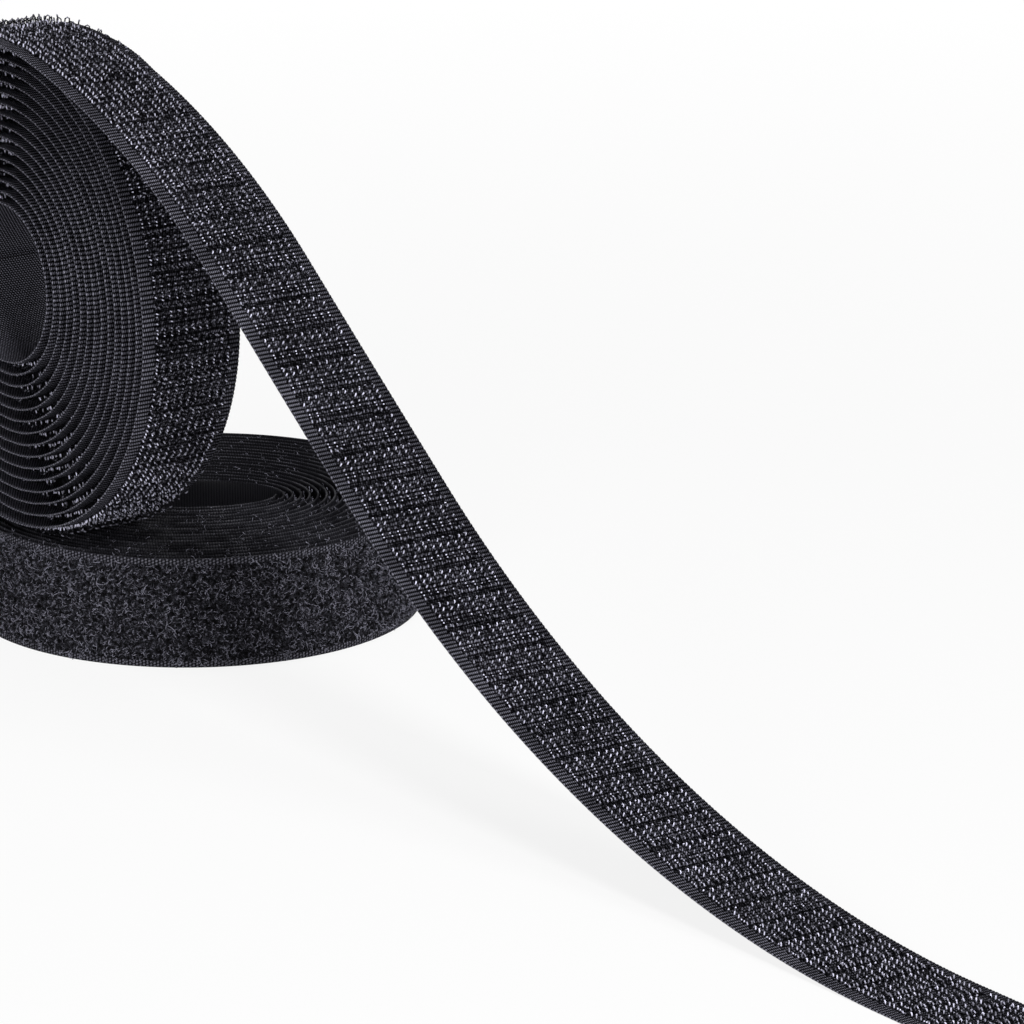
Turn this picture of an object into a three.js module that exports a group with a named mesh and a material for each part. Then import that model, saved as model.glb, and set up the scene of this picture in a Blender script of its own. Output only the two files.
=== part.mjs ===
// Two rolls of woven hook and loop tape.
// The loop tape's roll lies flat. The hook tape's roll stands on it with its axis level, and its free end
// leaves the top of the roll, falls in a long S and lies on the surface in front.
// Millimetres. X is the way the free end is drawn off, Y is the hook roll's axis and Z is up.

import * as THREE from "three";

// Sizes that both tapes share
const tapeWidth = 25;
const groundThickness = 0.5;
const touchClearance = 0.3;

// Hook tape: a woven ground with bare selvedges and a raised field of hooks between them
const hookSelvedge = 3;
const hookHeight = 1.2;
const hookBoreRadius = 16.45;
const hookPitch = 2.536;
const hookTurns = 15.25;
const hookBoreShiftX = -3.15;
const hookBoreShiftZ = 0.55;
const hookFirstAngle = -90;
const topShift = -4.7;
const shiftingTurns = 0.65;

// Free end of the hook tape, from the crest of the roll to its cut end
const departRadius = 75;
const departAngle = 14;
const fallRadius = 160;
const fallAngle = 40.5;
const fallRun = 59.7;
const layLength = 30;
const layShift = 6.3;
const freeEndStep = 8;

// Loop tape: a flat roll, wound on an oval and round at its outside
const loopThickness = 1.2;
const loopTurns = 17.73;
const loopBoreLong = 20.22;
const loopBoreShort = 9.62;
const loopOuterRadius = 51.8;
const loopBoreShiftX = -0.69;
const loopBoreShiftY = -2.54;
const loopBoreTurn = 54;
const rollSetback = 3.8;

// How finely a turn is divided, how far round a gap is looked for, and the finishes
const stepsPerTurn = 24;
const neighbourSteps = 2;
const hookFinish = { color: 0x26262a, roughness: 0.5, metalness: 0 };
const loopFinish = { color: 0x161618, roughness: 0.92, metalness: 0 };

const radians = THREE.MathUtils.degToRad;
const smooth = THREE.MathUtils.smoothstep;
const fullTurn = 2 * Math.PI;
const acrossTape = new THREE.Vector3(0, 1, 0);
const upright = new THREE.Vector3(0, 0, 1);

/** Inner face of the wound hook tape after some turns, seen along Y, with the roll's axis as zero. */
function hookSpiral(turns) {
  const angle = radians(hookFirstAngle) + fullTurn * turns;
  const radius = hookBoreRadius + hookPitch * turns;
  const shiftShare = 1 - turns / hookTurns;
  const x = hookBoreShiftX * shiftShare + radius * Math.sin(angle);
  const z = hookBoreShiftZ * shiftShare + radius * Math.cos(angle);
  return new THREE.Vector3(x, 0, z);
}

/** Inner face of the wound loop tape after some turns, seen from above, with the roll's axis as zero. */
function loopSpiral(turns) {
  const wound = turns / loopTurns;
  const long = THREE.MathUtils.lerp(loopBoreLong, loopOuterRadius, wound);
  const short = THREE.MathUtils.lerp(loopBoreShort, loopOuterRadius, wound);
  const angle = -fullTurn * turns;
  const point = new THREE.Vector3(long * Math.cos(angle), short * Math.sin(angle), 0);
  point.applyAxisAngle(upright, radians(loopBoreTurn));
  point.x += loopBoreShiftX * (1 - wound);
  point.y += loopBoreShiftY * (1 - wound);
  return point;
}

/** Stations along a winding: a point of the inner face, the way out of the roll and the way across the tape. */
function windingStations(spiral, turns, across) {
  const count = Math.ceil(turns * stepsPerTurn);
  const stations = [];
  for (let i = 0; i <= count; i++) {
    const at = Math.min(i / stepsPerTurn, turns);
    const point = spiral(at);
    const probedTurns = 1 / (stepsPerTurn * stepsPerTurn);
    const along = spiral(at + probedTurns).sub(spiral(at - probedTurns)).normalize();
    const out = new THREE.Vector3().crossVectors(along, across).normalize();
    if (out.dot(point) < 0) {
      out.negate();
    }
    stations.push({ point, out, across, turns: at });
  }
  return stations;
}

/** Least distance from the points of one run of stations to the segments of another. */
function distanceToRun(point, run) {
  let least = Infinity;
  for (let i = 1; i < run.length; i++) {
    const segment = new THREE.Line3(run[i - 1], run[i]);
    least = Math.min(least, segment.closestPointToPoint(point, true, new THREE.Vector3()).distanceTo(point));
  }
  return least;
}

/** Least gap between neighbouring turns, measured both ways between one turn's outside and the next one's inside. */
function leastGap(stations, thickness) {
  const inside = stations.map((station) => station.point);
  const outside = stations.map((station) => station.point.clone().addScaledVector(station.out, thickness));
  let least = Infinity;
  for (let i = stepsPerTurn; i < stations.length; i++) {
    const before = i - stepsPerTurn;
    const turnBelow = outside.slice(Math.max(before - neighbourSteps, 0), before + neighbourSteps + 1);
    least = Math.min(least, distanceToRun(inside[i], turnBelow));
    const turnAbove = inside.slice(i - neighbourSteps, i + neighbourSteps + 1);
    least = Math.min(least, distanceToRun(outside[before], turnAbove));
  }
  return least;
}

/** A closed strip: the section's points, across and out of the tape, carried along the stations. */
function stripGeometry(stations, section) {
  const vertices = [];
  for (const { point, out, across } of stations) {
    for (const [side, height] of section) {
      const corner = point.clone().addScaledVector(across, side).addScaledVector(out, height);
      vertices.push(corner.x, corner.y, corner.z);
    }
  }
  const sides = section.length;
  const faces = [];
  for (let i = 1; i < stations.length; i++) {
    for (let j = 0; j < sides; j++) {
      const next = (j + 1) % sides;
      const a = (i - 1) * sides + j;
      const b = (i - 1) * sides + next;
      const c = i * sides + next;
      const d = i * sides + j;
      faces.push(a, b, c, a, c, d);
    }
  }
  const outline = section.map(([side, height]) => new THREE.Vector2(side, height));
  const last = (stations.length - 1) * sides;
  for (const [a, b, c] of THREE.ShapeUtils.triangulateShape(outline, [])) {
    faces.push(c, b, a);
    faces.push(last + a, last + b, last + c);
  }
  const { point, out, across } = stations[0];
  const ahead = stations[1].point.clone().sub(point);
  const facing = new THREE.Vector3().crossVectors(across, out).dot(ahead);
  if (facing < 0) {
    faces.reverse();
  }
  const geometry = new THREE.BufferGeometry();
  geometry.setAttribute("position", new THREE.Float32BufferAttribute(vertices, 3));
  geometry.setIndex(faces);
  geometry.computeVertexNormals();
  return geometry;
}

/** Section of the hook tape: the ground from selvedge to selvedge, with the hook field standing on it. */
function hookSection() {
  const fieldTop = groundThickness + hookHeight;
  const fieldEnd = tapeWidth - hookSelvedge;
  return [
    [0, 0],
    [tapeWidth, 0],
    [tapeWidth, groundThickness],
    [fieldEnd, groundThickness],
    [fieldEnd, fieldTop],
    [hookSelvedge, fieldTop],
    [hookSelvedge, groundThickness],
    [0, groundThickness],
  ];
}

/** Section of the loop tape: the ground with its pile pressed flat between the turns. */
function loopSection() {
  return [
    [0, 0],
    [tapeWidth, 0],
    [tapeWidth, loopThickness],
    [0, loopThickness],
  ];
}

/** Runs of the free end as arcs and straights: how far each turns down, and its length along the inner face. */
function freeEndRuns(crestHeight) {
  const depart = radians(departAngle);
  const fall = radians(fallAngle);
  const departDrop = departRadius * (1 - Math.cos(depart));
  const fallDrop = fallRadius * (Math.cos(depart) - Math.cos(fall));
  const landingDrop = crestHeight - departDrop - fallDrop - fallRun * Math.sin(fall);
  const landingRadius = landingDrop / (1 - Math.cos(fall));
  return [
    { turn: depart, length: departRadius * depart },
    { turn: fall - depart, length: fallRadius * (fall - depart) },
    { turn: 0, length: fallRun },
    { turn: -fall, length: landingRadius * fall },
    { turn: 0, length: layLength },
  ];
}

/** Stations of the free end, from just past the crest to the cut end on the surface. */
function freeEndStations(crest) {
  const runs = freeEndRuns(crest.z);
  const landed = runs.slice(0, -1).reduce((sum, run) => sum + run.length, 0);
  const stations = [];
  const point = crest.clone();
  let heading = 0;
  let travelled = 0;
  const add = () => {
    const out = new THREE.Vector3(Math.sin(heading), 0, Math.cos(heading));
    const place = point.clone();
    place.y = THREE.MathUtils.lerp(topShift, layShift, smooth(travelled, 0, landed));
    stations.push({ point: place, out, across: acrossTape });
  };
  point.x += touchClearance;
  add();
  for (const run of runs) {
    const steps = Math.max(1, Math.round(run.length / freeEndStep));
    for (let i = 0; i < steps; i++) {
      const part = run.length / steps;
      const half = run.turn / steps / 2;
      const chord = half === 0 ? part : (part * Math.sin(half)) / half;
      point.x += chord * Math.cos(heading + half);
      point.z -= chord * Math.sin(heading + half);
      heading += 2 * half;
      travelled += part;
      add();
    }
  }
  return stations;
}

/** A named mesh with a finish of its own. */
function tapeMesh(name, geometry, finish) {
  const mesh = new THREE.Mesh(geometry, new THREE.MeshStandardMaterial(finish));
  mesh.name = name;
  return mesh;
}

// The loop roll: its path lies in the XY plane, and the tape stands on its edge from there
const loopStations = windingStations(loopSpiral, loopTurns, upright);
const loopWinding = tapeMesh("loop_tape_winding", stripGeometry(loopStations, loopSection()), loopFinish);
loopWinding.position.y = loopOuterRadius - rollSetback;

// The hook roll: the tape's last stretch works sideways, and the lowest turn sits just above the loop tape
const hookStations = windingStations(hookSpiral, hookTurns, acrossTape);
const hookThickness = groundThickness + hookHeight;
const hookDrop = Math.max(...hookStations.map(({ point, out }) => -point.z - hookThickness * out.z));
const hookAxisHeight = tapeWidth + touchClearance + hookDrop;
for (const station of hookStations) {
  station.point.z += hookAxisHeight;
}
console.log(`hook winding: least gap between turns ${leastGap(hookStations, hookThickness).toFixed(3)} mm`);
console.log(`loop winding: least gap between turns ${leastGap(loopStations, loopThickness).toFixed(3)} mm`);
for (const station of hookStations) {
  station.point.y = topShift * smooth(station.turns, hookTurns - shiftingTurns, hookTurns);
}
const hookWinding = tapeMesh("hook_tape_winding", stripGeometry(hookStations, hookSection()), hookFinish);

// The free end goes on from the crest, where the winding stops
const crest = hookStations[hookStations.length - 1].point;
const freeEnd = tapeMesh("hook_tape_free_end", stripGeometry(freeEndStations(crest), hookSection()), hookFinish);

// The origin is the middle of the whole part's footprint, on the surface that it stands on
const rolls = new THREE.Group();
rolls.add(loopWinding, hookWinding, freeEnd);
rolls.updateMatrixWorld(true);
const footprint = new THREE.Box3().setFromObject(rolls).getCenter(new THREE.Vector3());
rolls.position.set(-footprint.x, -footprint.y, 0);

const part = new THREE.Group();
part.add(rolls);

export default part;
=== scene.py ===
"""Two rolls of woven touch tape, dressed over their frame.

The loop tape lies flat with its pile outwards. The hook tape stands on it, and its free end leaves the
top, falls in a long S and lies on the surface. Lengths are in millimetres until a mesh is written, which
is in metres. A place on a tape is given by s along it, v across it from its first edge and h out of its
inner face.
"""

import logging
import math
from dataclasses import dataclass, field, replace
from enum import Enum

import bpy
import numpy as np
from mathutils import Matrix, Vector


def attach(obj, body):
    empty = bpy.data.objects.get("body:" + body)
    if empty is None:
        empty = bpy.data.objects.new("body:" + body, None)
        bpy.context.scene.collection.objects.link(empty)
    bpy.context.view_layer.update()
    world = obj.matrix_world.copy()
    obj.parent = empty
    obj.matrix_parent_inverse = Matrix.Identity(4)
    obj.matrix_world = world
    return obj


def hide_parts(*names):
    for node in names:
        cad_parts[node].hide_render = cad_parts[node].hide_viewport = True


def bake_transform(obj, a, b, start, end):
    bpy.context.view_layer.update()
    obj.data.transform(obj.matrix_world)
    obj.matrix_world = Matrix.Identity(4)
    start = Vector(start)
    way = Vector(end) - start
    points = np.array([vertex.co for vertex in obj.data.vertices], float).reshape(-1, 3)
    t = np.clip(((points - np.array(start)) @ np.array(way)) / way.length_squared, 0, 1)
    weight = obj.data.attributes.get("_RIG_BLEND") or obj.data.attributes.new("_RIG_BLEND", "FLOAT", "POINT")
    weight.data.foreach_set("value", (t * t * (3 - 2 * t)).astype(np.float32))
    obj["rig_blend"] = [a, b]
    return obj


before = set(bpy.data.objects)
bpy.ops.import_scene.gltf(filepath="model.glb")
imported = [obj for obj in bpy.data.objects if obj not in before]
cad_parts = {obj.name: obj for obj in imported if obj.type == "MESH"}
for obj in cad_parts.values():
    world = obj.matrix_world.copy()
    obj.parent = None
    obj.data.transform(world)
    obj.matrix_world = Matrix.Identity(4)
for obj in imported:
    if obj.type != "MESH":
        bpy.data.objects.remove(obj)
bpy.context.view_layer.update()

Array = np.ndarray
Piece = bpy.types.Object
Socket = bpy.types.NodeSocket
METRES = 0.001
POINTS_PER_TURN = 720
GREY_TINT = (1.01, 1.0, 1.24)

log = logging.getLogger("touch_tape")


# Shapes: tape runs, strips and strands


def smoothstep(x: Array, start: float, end: float) -> Array:
    """Ease from 0 at start to 1 at end: 3t^2 - 2t^3, with t the share of the way, kept from 0 to 1.

    Args:
        x: Where to read the curve.
        start: Where it leaves 0.
        end: Where it reaches 1.

    Returns:
        The eased share at each x.
    """
    t = np.clip((x - start) / (end - start), 0.0, 1.0)
    return t * t * (3.0 - 2.0 * t)


def unit(vectors: Array) -> Array:
    """Each vector divided by its length."""
    return vectors / np.maximum(np.linalg.norm(vectors, axis=-1, keepdims=True), 1e-12)


def running(steps: Array) -> Array:
    """The running sum of the steps, from 0."""
    return np.concatenate([[0.0], np.cumsum(steps)])


@dataclass
class TapeRun:
    """A run of tape, held as close points of its inner face at v = 0.

    Args:
        points: The inner face's points, one row each.
        across: The way across the tape, from its first edge to its second.
        side: 1 where along x across points out of the tape's outer face, -1 where it points in.
        start: Length of tape before this run.
    """

    points: Array
    across: Array
    side: float = 1.0
    start: float = 0.0
    s: Array = field(init=False)
    along: Array = field(init=False)
    out: Array = field(init=False)

    def __post_init__(self) -> None:
        """Measure the length run in the plane square to across, and the ways along and out."""
        flat = self.points - np.outer(self.points @ self.across, self.across)
        steps = np.linalg.norm(np.diff(flat, axis=0), axis=1)
        self.s = self.start + running(steps)
        self.along = unit(np.gradient(flat, self.s, axis=0, edge_order=2))
        self.out = unit(self.side * np.cross(self.along, self.across))

    @property
    def end(self) -> float:
        """Length of tape at the run's end."""
        return float(self.s[-1])

    def room(self, s: Array) -> Array:
        """Distance out to the next turn's inner face at each s, or the last one known where none follows."""
        ahead = self.points[POINTS_PER_TURN:] - self.points[:-POINTS_PER_TURN]
        return np.interp(s, self.s[:-POINTS_PER_TURN], np.sum(ahead * self.out[:-POINTS_PER_TURN], axis=1))

    def read(self, rows: Array, s: Array) -> Array:
        """The rows' values at each s, in straight lines between the run's points."""
        return np.stack([np.interp(s, self.s, rows[:, i]) for i in range(3)], axis=-1)

    def frame_at(self, s: Array) -> tuple[Array, Array, Array]:
        """Point of the inner face, way along and way out at each s."""
        return self.read(self.points, s), unit(self.read(self.along, s)), unit(self.read(self.out, s))

    def lines(self, s: Array, along: Array, across: Array, out: Array) -> Array:
        """Lines in space: the inner face's point at s, plus along, across and out times the ways there.

        Args:
            s: Length along the tape, one for each line.
            along: Distance from there along the tape, (lines, points).
            across: Distance across it, likewise.
            out: Height out of its inner face, likewise.

        Returns:
            The points, (lines, points, 3).
        """
        point, ahead, outward = (way[:, None, :] for way in self.frame_at(s))
        along, across, out = along[:, :, None], across[:, :, None], out[:, :, None]
        return point + along * ahead + across * self.across + out * outward


@dataclass
class Surface:
    """Whole arrays: points, faces of four and of three, a UV for each point and a slot for each face."""

    points: Array
    quads: Array
    uv: Array
    triangles: Array = field(default_factory=lambda: np.zeros((0, 3), np.int64))
    slots: Array | None = None

    def volume(self) -> float:
        """Volume inside the faces: a sixth of the sum of the triangles' triple products.

        Returns:
            The volume, above 0 where the faces point out.
        """
        fans = [self.quads[:, [0, 1, 2]], self.quads[:, [0, 2, 3]], self.triangles]
        a, b, c = (self.points[np.concatenate(fans)[:, i]] for i in range(3))
        return float(np.einsum("ij,ij->", a, np.cross(b, c)) / 6.0)

    def to_object(self, name: str, finishes: list["Finish"]) -> Piece:
        """Write the surface as a smooth mesh object with its faces pointing out.

        Args:
            name: The piece's name.
            finishes: One finish for each slot.

        Returns:
            The new object, at the origin.
        """
        quads, triangles = self.quads, self.triangles
        if self.volume() < 0.0:
            quads, triangles = quads[:, ::-1], triangles[:, ::-1]
        corners = np.concatenate([quads.ravel(), triangles.ravel()]).astype(np.int32)
        counts = np.concatenate([np.full(len(quads), 4), np.full(len(triangles), 3)]).astype(np.int32)
        mesh = bpy.data.meshes.new(name)
        mesh.vertices.add(len(self.points))
        mesh.loops.add(len(corners))
        mesh.polygons.add(len(counts))
        mesh.vertices.foreach_set("co", (self.points * METRES).astype(np.float32).ravel())
        mesh.loops.foreach_set("vertex_index", corners)
        mesh.polygons.foreach_set("loop_start", (np.cumsum(counts) - counts).astype(np.int32))
        mesh.polygons.foreach_set("use_smooth", np.ones(len(counts), bool))
        if self.slots is not None:
            mesh.polygons.foreach_set("material_index", self.slots.astype(np.int32))
        layer = mesh.uv_layers.new(name="tape_mm")
        layer.data.foreach_set("uv", self.uv[corners].astype(np.float32).ravel())
        for finish in finishes:
            mesh.materials.append(finish.material())
        mesh.update(calc_edges=True)
        mesh.validate()
        piece = bpy.data.objects.new(name, mesh)
        bpy.context.scene.collection.objects.link(piece)
        log.info("%s: %d faces", name, len(counts))
        return piece


@dataclass
class StripSection:
    """The outline that a strip's surface carries along the tape.

    Args:
        v: Places across the tape where the outline has points, from one edge to the other.
        inner: Heights of the inner face there: one for all, a row of them, or a row for each station.
        outer: Heights of the outer face there, likewise.
        edge_wave: How far the edges stand in from the tape's full width, one for all or for each station.
        edge: How far in from its edges the tape is pulled with them.
        split: Slots of the inner face, the edges and the outer face.
    """

    v: Array
    inner: Array | float
    outer: Array
    edge_wave: Array | float = 0.0
    edge: float = 0.3
    split: tuple[int, int, int] = (0, 1, 2)


def ring_quads(rings: int, ring: int) -> Array:
    """Faces of four between each ring of points and the next.

    Args:
        rings: Number of rings.
        ring: Points in each.

    Returns:
        The numbers of each face's corners.
    """
    i, j = np.meshgrid(np.arange(rings - 1), np.arange(ring), indexing="ij")
    after = (j + 1) % ring
    near, far = i * ring, (i + 1) * ring
    return np.stack([near + j, near + after, far + after, far + j], -1).reshape(-1, 4)


def strip_surface(run: TapeRun, stations: Array, section: StripSection) -> Surface:
    """A closed strip: at each station its outline runs over the inner face and back over the outer one.

    Points are the tape's places (s, v, h) over the grid of stations by outline points. The v are drawn in
    towards the middle by the edge wave at both edges. The two ends are closed with faces that join the
    inner and outer points of one v.

    Args:
        run: The tape that carries it.
        stations: Lengths along the tape, ascending.
        section: The outline.

    Returns:
        The strip, with s and v in millimetres as its UV.
    """
    count, half = len(stations), len(section.v)
    width = section.v[-1]
    pull = section.edge_wave * np.sign(width / 2 - section.v)
    pull = pull * (np.abs(section.v - width / 2) > width / 2 - section.edge)
    across = np.broadcast_to(section.v + pull, (count, half))
    inner = np.broadcast_to(section.inner, (count, half))
    outer = np.broadcast_to(section.outer, (count, half))
    v = np.concatenate([across, across[:, ::-1]], axis=1)
    h = np.concatenate([inner, outer[:, ::-1]], axis=1)
    points = run.lines(stations, np.zeros_like(v), v, h).reshape(-1, 3)
    ring = 2 * half
    low = np.arange(half - 1)
    cap = np.stack([low, low + 1, ring - 2 - low, ring - 1 - low], -1)
    quads = np.concatenate([ring_quads(count, ring), cap[:, ::-1], cap + (count - 1) * ring])
    slot_of = np.full(ring, section.split[2])
    slot_of[: half - 1] = section.split[0]
    slot_of[[0, half - 2, half - 1, half, ring - 2, ring - 1]] = section.split[1]
    on_ends = np.full(2 * (half - 1), section.split[1])
    slots = np.concatenate([np.broadcast_to(slot_of, (count - 1, ring)).ravel(), on_ends])
    uv = np.stack([np.broadcast_to(stations[:, None], v.shape), v], -1).reshape(-1, 2)
    return Surface(points, quads, uv, slots=slots)


def strands(centres: Array, plane: Array, radius: Array, sides: int, tint: Array) -> Surface:
    """Closed round strands, one for each row of centres.

    A strand's ring at each of its points is the centre plus radius times (cos a x plane + sin a x (tangent x
    plane)), with a going once round. Its ends are closed flat.

    Args:
        centres: Points of the centrelines, (strands, points, 3).
        plane: For each strand, a way square to the plane that it bends in, (strands, 3).
        radius: Radius at each point, (strands, points).
        sides: Sides of a ring, 3 or 4.
        tint: A number from 0 to 1 for each strand, kept in its UV.

    Returns:
        All strands as one surface, with the length from the root and the tint as UV.
    """
    total, count, _ = centres.shape
    tangent = unit(np.gradient(centres, axis=1))
    first = unit(plane[:, None, :] - np.sum(plane[:, None, :] * tangent, -1, keepdims=True) * tangent)
    second = np.cross(tangent, first)
    angle = 2 * np.pi * np.arange(sides) / sides
    ring = first[:, :, None, :] * np.cos(angle)[:, None] + second[:, :, None, :] * np.sin(angle)[:, None]
    points = (centres[:, :, None, :] + radius[:, :, None, None] * ring).reshape(-1, 3)
    base = (np.arange(total) * count * sides)[:, None, None]
    quads = (ring_quads(count, sides) + base).reshape(-1, 4)
    lid = np.arange(sides)
    caps = (np.stack([lid[::-1], lid + (count - 1) * sides]) + base).reshape(-1, sides)
    steps = np.linalg.norm(np.diff(centres, axis=1), axis=-1)
    length = np.concatenate([np.zeros((total, 1)), np.cumsum(steps, axis=1)], axis=1)
    tints = np.broadcast_to(tint[:, None, None], (total, count, sides))
    uv = np.stack([np.repeat(length[:, :, None], sides, 2), tints], -1).reshape(-1, 2)
    if sides == 4:
        return Surface(points, np.concatenate([quads, caps]), uv)
    return Surface(points, quads, uv, triangles=caps)


# Finishes


@dataclass
class Graph:
    """Short calls that add nodes to one node tree and join them."""

    tree: bpy.types.NodeTree

    @classmethod
    def fresh(cls, owner: bpy.types.Material | bpy.types.World) -> "Graph":
        """The graph of a material or a world, emptied.

        Args:
            owner: The material or world.

        Returns:
            Its graph.
        """
        owner.use_nodes = True
        owner.node_tree.nodes.clear()
        return cls(owner.node_tree)

    def fill(self, node: bpy.types.Node, inputs: dict) -> bpy.types.Node:
        """Join a node's inputs to sockets, or set them to values.

        Args:
            node: The node.
            inputs: Sockets or values, by the input's name or number.

        Returns:
            The node.
        """
        for key, value in inputs.items():
            if isinstance(value, Socket):
                self.tree.links.new(value, node.inputs[key])
            else:
                node.inputs[key].default_value = value
        return node

    def add(self, kind: str, inputs: dict | None = None, **settings: object) -> bpy.types.Node:
        """Add a node, set it up and fill or join its inputs.

        Args:
            kind: The node's type name.
            inputs: Sockets or values, by the input's name or number.
            settings: Properties of the node itself.

        Returns:
            The node.
        """
        node = self.tree.nodes.new(kind)
        for key, value in settings.items():
            setattr(node, key, value)
        return self.fill(node, inputs or {})

    def math(self, operation: str, *values: object) -> Socket:
        """A Math node's result for these sockets or numbers."""
        return self.add("ShaderNodeMath", dict(enumerate(values)), operation=operation).outputs[0]

    def plus(self, first: object, second: object) -> Socket:
        """The sum of two sockets or numbers."""
        return self.math("ADD", first, second)

    def minus(self, first: object, second: object) -> Socket:
        """The first socket or number less the second."""
        return self.math("SUBTRACT", first, second)

    def times(self, first: object, second: object) -> Socket:
        """The product of two sockets or numbers."""
        return self.math("MULTIPLY", first, second)

    def wave(self, turns: object) -> Socket:
        """|sin(pi x turns)|, which is 0 at each whole number and 1 half way between."""
        return self.math("ABSOLUTE", self.math("SINE", self.times(turns, math.pi)))

    def remap(self, value: object, *ends: float) -> Socket:
        """The value taken in a straight line from the first two ends to the last two, or to 0 and 1."""
        return self.add("ShaderNodeMapRange", {0: value, **dict(enumerate(ends, 1))}).outputs[0]

    def noise(self, place: object, scale: float, detail: float, roughness: float = 0.5) -> Socket:
        """A smooth noise from 0 to 1, read at a place."""
        inputs = {"Vector": place, "Scale": scale, "Detail": detail, "Roughness": roughness}
        return self.add("ShaderNodeTexNoise", inputs).outputs[0]

    def mix(self, share: object, first: object, second: object) -> Socket:
        """A colour mixed from the first to the second by a share."""
        return self.add("ShaderNodeMix", {0: share, 6: first, 7: second}, data_type="RGBA").outputs[2]

    def plane(self, first: object, second: object) -> Socket:
        """Two numbers as a place for a noise to read."""
        return self.add("ShaderNodeCombineXYZ", {0: first, 1: second}).outputs[0]

    def tape_place(self) -> tuple[Socket, Socket]:
        """The piece's own UV, as s and v in millimetres."""
        uv = self.add("ShaderNodeUVMap", uv_map="tape_mm").outputs[0]
        return tuple(self.add("ShaderNodeSeparateXYZ", {0: uv}).outputs[:2])


def grey(value: float) -> tuple[float, ...]:
    """A grey with a touch of blue, as a linear colour."""
    return (*(value * part for part in GREY_TINT), 1.0)


def rib_group() -> bpy.types.NodeTree:
    """Crosswise ribs with slanted stitches on them, as a node group that both tapes' grounds use.

    The rib is |sin(pi s / pick)|. The stitches are |sin(pi (v / stitch + slant x the share of the pick run +
    half the pick's number))|, so that neighbouring ribs are out of step. The height is the rib's root times a
    part that follows the stitches. A fine noise breaks the threads up.

    Returns:
        The group, made once and then used again.
    """
    found = bpy.data.node_groups.get("crosswise_ribs")
    if found:
        return found
    tree = bpy.data.node_groups.new("crosswise_ribs", "ShaderNodeTree")
    for name in ("s", "v", "Pick", "Stitch", "Slant", "Depth"):
        tree.interface.new_socket(name, in_out="INPUT", socket_type="NodeSocketFloat")
    for name in ("Height", "Fibre"):
        tree.interface.new_socket(name, in_out="OUTPUT", socket_type="NodeSocketFloat")
    g = Graph(tree)
    given = g.add("NodeGroupInput").outputs
    turns = g.math("DIVIDE", given["s"], given["Pick"])
    run = g.times(g.math("FRACT", turns), given["Slant"])
    beads = g.plus(run, g.times(g.math("FLOOR", turns), 0.5))
    bead = g.wave(g.plus(g.math("DIVIDE", given["v"], given["Stitch"]), beads))
    lift = g.plus(g.minus(1.0, given["Depth"]), g.times(bead, given["Depth"]))
    fibre = g.noise(g.plane(given["s"], given["v"]), 5.0, 3.0, 0.65)
    height = g.times(g.math("POWER", g.wave(turns), 0.6), lift)
    g.add("NodeGroupOutput", {"Height": height, "Fibre": fibre})
    return tree


@dataclass(frozen=True)
class Finish:
    """A finish: a name, and a method that paints its nodes on first use."""

    name: str

    def material(self) -> bpy.types.Material:
        """Look up or paint the finish's material.

        Returns:
            The material, made on first use.
        """
        found = bpy.data.materials.get(self.name)
        if found:
            return found
        material = bpy.data.materials.new(self.name)
        g = Graph.fresh(material)
        shader = g.add("ShaderNodeBsdfPrincipled")
        g.add("ShaderNodeOutputMaterial", {0: shader.outputs[0]})
        self.paint(g, shader)
        return material

    def paint(self, g: Graph, shader: bpy.types.Node) -> None:
        """Join the finish's nodes to its shader; each finish has its own."""
        raise NotImplementedError


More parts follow.
